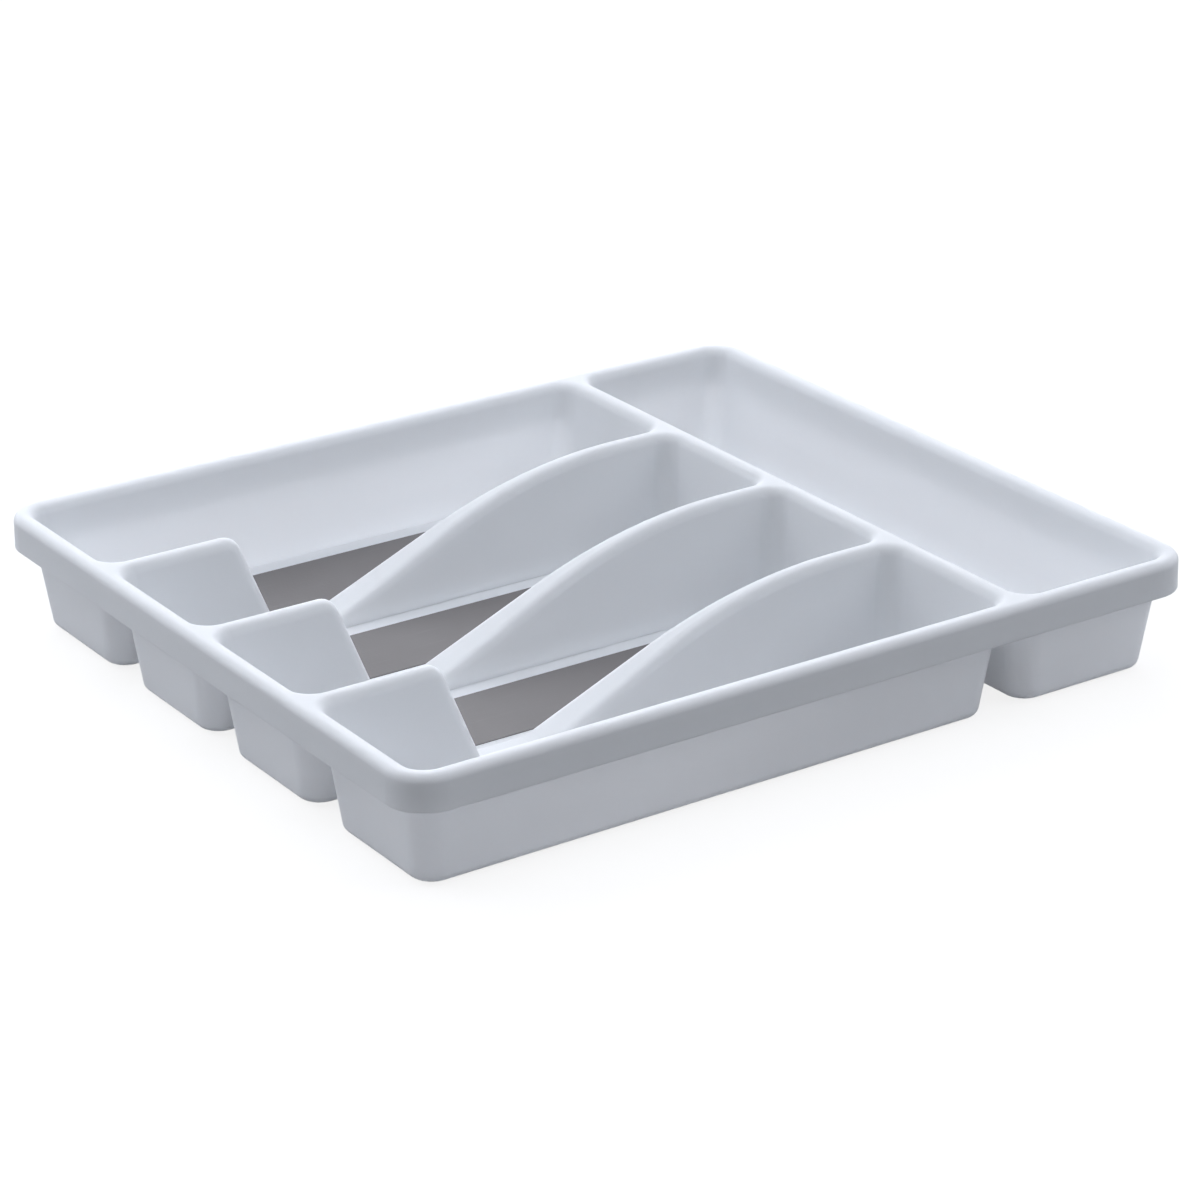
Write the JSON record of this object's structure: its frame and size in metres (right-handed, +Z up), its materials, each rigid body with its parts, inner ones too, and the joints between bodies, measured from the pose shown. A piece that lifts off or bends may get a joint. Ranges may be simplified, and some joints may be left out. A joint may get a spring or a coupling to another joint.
{
  "type": "cutlery tray",
  "caption": "Open moulded drawer tray with long cutlery bays side by side, a cross bay behind them, scooped dividers and soft grip linings on the bay floors.",
  "frame": {"origin": "centre of the overall box at its base, under the feet", "axes": "+Z up; +Y along the long bays, from the end with the dividers' short stubs towards the cross bay; +X across the long bays"},
  "size_m": [0.3554, 0.406, 0.0559],
  "materials": {
    "white_moulding": "satin",
    "grey_soft_grip": "matte"
  },
  "bodies": {
    "root": {"tray_body": "white_moulding", "lining_bay_1": "grey_soft_grip", "lining_bay_2": "grey_soft_grip", "lining_bay_3": "grey_soft_grip", "lining_bay_4": "grey_soft_grip", "lining_cross_bay": "grey_soft_grip", "foot_front_left": "grey_soft_grip", "foot_front_right": "grey_soft_grip", "foot_back_left": "grey_soft_grip", "foot_back_right": "grey_soft_grip"}
  },
  "joints": []
}
